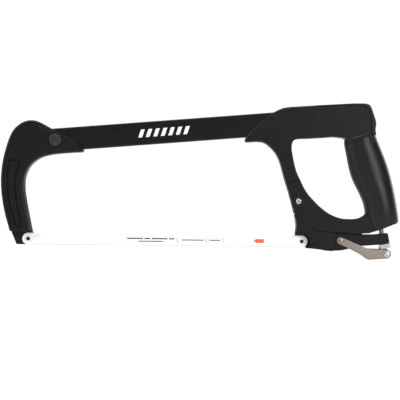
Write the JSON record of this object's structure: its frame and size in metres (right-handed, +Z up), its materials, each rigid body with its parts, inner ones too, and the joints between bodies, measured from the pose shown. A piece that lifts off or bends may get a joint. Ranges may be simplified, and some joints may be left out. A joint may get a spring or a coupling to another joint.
{
  "type": "hacksaw",
  "caption": "Hacksaw with a rectangular steel backbone, cast nose and D handle, rubber grip, pinned blade and a cam lever that tensions the blade.",
  "frame": {"origin": "under the middle of the saw's length and thickness, on the level of its lowest point, which is the heel of the tension lever", "axes": "+X from the nose to the handle along the blade, +Z up from the blade to the backbone, +Y through the thickness to the far side"},
  "size_m": [0.4348, 0.031, 0.1704],
  "materials": {
    "casting": "satin black powder coat on die-cast aluminium",
    "tube": "satin black paint on steel tube",
    "rubber": "soft-touch black rubber with a satin sheen",
    "lever_steel": "pressed steel, satin",
    "bright_zinc": "bright zinc plate",
    "dark_steel": "blackened steel",
    "blade": "white enamel on spring steel, bare teeth"
  },
  "bodies": {
    "frame": {"backbone_tube": "tube", "front_casting": "casting", "front_clamp_screw": "dark_steel", "front_clamp_nut": "bright_zinc", "front_blade_pin": "dark_steel", "handle_casting": "casting", "handle_screw": "dark_steel", "handle_screw_nut": "bright_zinc", "rubber_grip": "rubber", "pivot_pin": "bright_zinc", "pivot_washer_near": "dark_steel", "pivot_washer_far": "dark_steel", "eye_bolt": "bright_zinc", "bolt_insert": "bright_zinc"},
    "arm": {"tension_arm": "casting", "pivot_bush": "bright_zinc", "rear_blade_pin": "dark_steel", "thrust_saddle": "bright_zinc"},
    "lever": {"tension_lever": "lever_steel", "cam_near": "dark_steel", "cam_far": "dark_steel", "lever_pin": "bright_zinc", "lever_stud_near": "lever_steel", "lever_stud_far": "lever_steel"},
    "blade": {"blade": "blade"}
  },
  "joints": [
    {"name": "lever_swing", "type": "hinge", "parent": "frame", "child": "lever", "pos_m": [0.2038, 0, 0.0065], "axis": [0, -1, 0], "range_deg": [0, 110]},
    {"name": "arm_tilt", "type": "hinge", "parent": "frame", "child": "arm", "pos_m": [0.1077, 0, 0.0629], "axis": [0, 1, 0], "range_deg": [0, 0.97]},
    {"name": "blade_lift_off", "type": "slide", "parent": "frame", "child": "blade", "axis": [0, -1, 0], "range_m": [0, 0.03]}
  ],
  "couplings": [
    {"joint": "arm_tilt", "follows": "lever_swing", "ratio": 0.0087}
  ]
}
